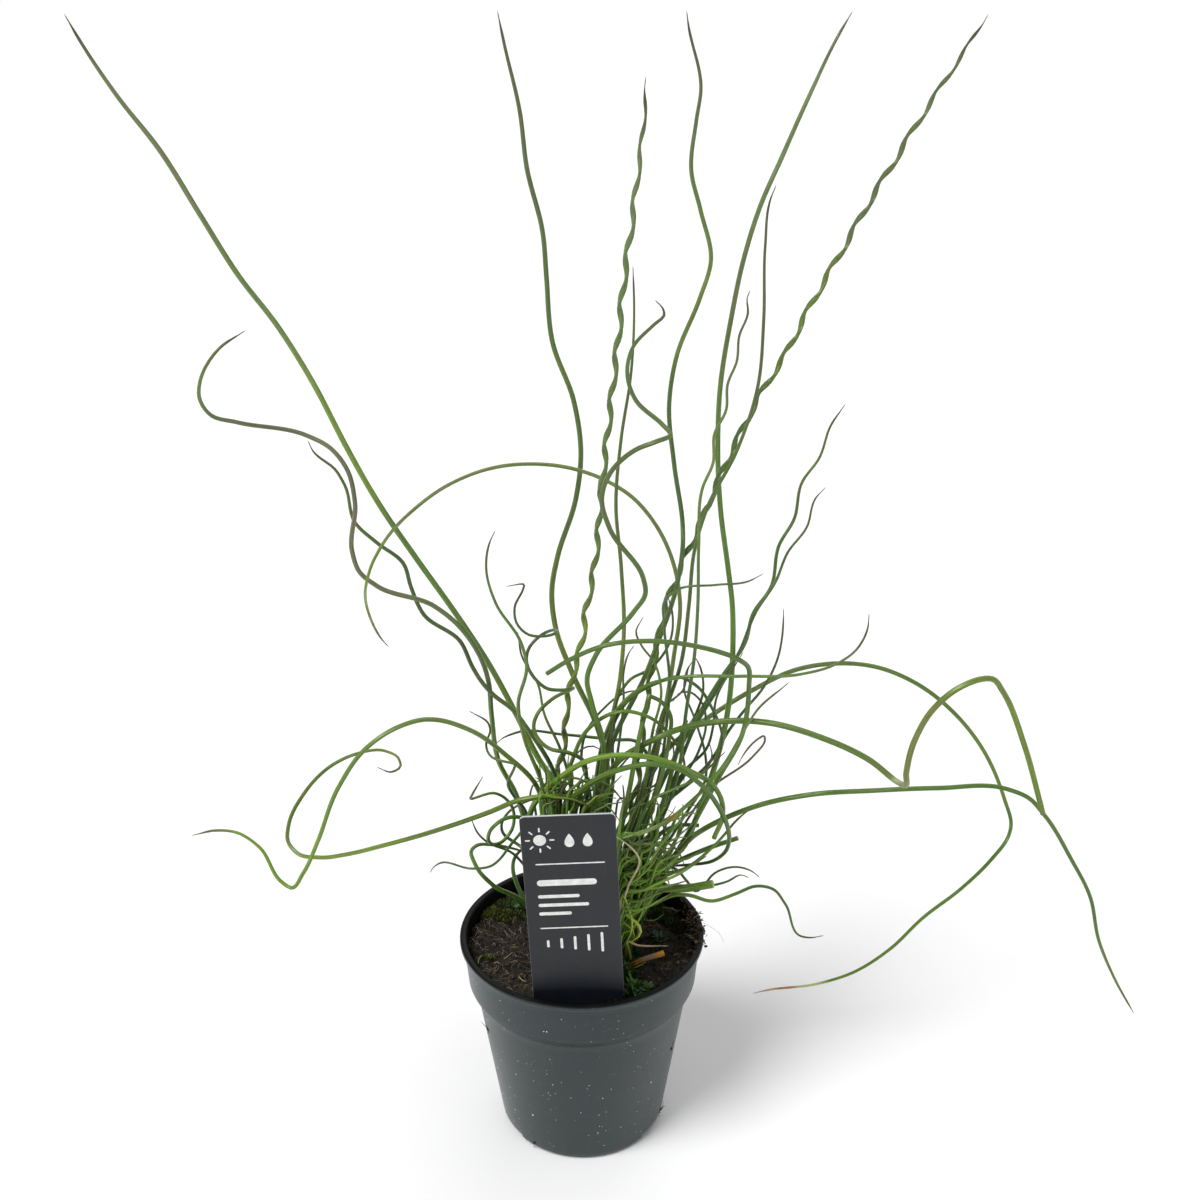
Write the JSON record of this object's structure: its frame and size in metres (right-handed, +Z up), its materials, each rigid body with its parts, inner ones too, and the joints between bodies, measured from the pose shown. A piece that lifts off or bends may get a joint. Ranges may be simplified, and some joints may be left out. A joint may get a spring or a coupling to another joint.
{
  "type": "potted corkscrew rush",
  "caption": "Leafless corkscrew rush with curling and twisted green stems, growing in a thin round plastic nursery pot, with a stick-in plant label.",
  "frame": {"origin": "the middle of the pot's flat base, on the ground", "axes": "+Z up, +X to the right of the label's face, -Y towards the reader of the label"},
  "size_m": [0.3651, 0.1243, 0.3944],
  "materials": {
    "pot_plastic": "satin, thin moulded plastic",
    "peat": null,
    "label_card": "satin printed plastic card",
    "stem_fresh": "smooth fresh green rush stem",
    "stem_dark": "smooth dark green rush stem",
    "stem_olive": "smooth olive green rush stem",
    "stem_dry": "dry straw-coloured stem",
    "stem_rusty": "rough brown dead stem base"
  },
  "bodies": {
    "root": {"pot": "pot_plastic", "soil": "peat", "plant_label": "label_card", "stem_tall_left": "stem_fresh", "stem_hooked_left": "stem_dark", "stem_wavy_left": "stem_dark", "stem_drooping_left": "stem_fresh", "stem_lasso_left": "stem_olive", "stem_arch_front": "stem_fresh", "stem_arch_front_coiled": "stem_fresh", "stem_sprig_right": "stem_fresh", "stem_tall_mid_left": "stem_fresh", "stem_ribbon_left": "stem_olive", "stem_tall_mid_right": "stem_dark", "stem_tall_right": "stem_fresh", "stem_ribbon_right": "stem_fresh", "stem_long_thin": "stem_olive", "stem_thin_wavy": "stem_dark", "stem_straight_thin": "stem_olive", "stem_s_curve": "stem_fresh", "stem_great_arc": "stem_olive", "stem_wavy_mid_left": "stem_fresh", "stem_spiral_mid": "stem_dark", "stem_thin_left": "stem_dark", "stem_ring_left": "stem_dark", "stem_curl_left": "stem_dark", "stem_cut_arc": "stem_fresh", "stem_swept_right": "stem_fresh", "stem_long_arch_right": "stem_fresh", "stem_kinked_right": "stem_fresh", "stem_long_right": "stem_fresh", "stem_upright_right": "stem_dark", "stem_slim_right": "stem_fresh", "stem_dry_hairpin": "stem_dry", "stem_hooked_thin": "stem_dark", "stem_curl_mid": "stem_fresh", "stem_thin_mid": "stem_dark", "stem_thin_back": "stem_dark", "stem_cut_mid": "stem_fresh", "stem_cut_mid_right": "stem_fresh", "stem_wavy_right": "stem_fresh", "stem_wavy_right_thin": "stem_dark", "stem_low_loop_left": "stem_fresh", "stem_low_thin_left": "stem_dark", "stem_looped_left": "stem_fresh", "stem_c_loop_left": "stem_dark", "stem_stout_left": "stem_dark", "stem_wisp_left": "stem_dark", "stem_cut_thick_right": "stem_fresh", "stem_cut_right": "stem_fresh", "stem_cut_dark_right": "stem_dark", "stem_thin_right": "stem_dark", "stem_bent_right": "stem_dark", "stem_low_right": "stem_dark", "stem_dry_kinked": "stem_dry", "stem_young_shoot": "stem_olive", "stem_rusty_stub": "stem_rusty", "stem_dead_stem": "stem_dry", "stem_back_tuft": "stem_dark", "stem_front_tuft": "stem_fresh"}
  },
  "joints": []
}
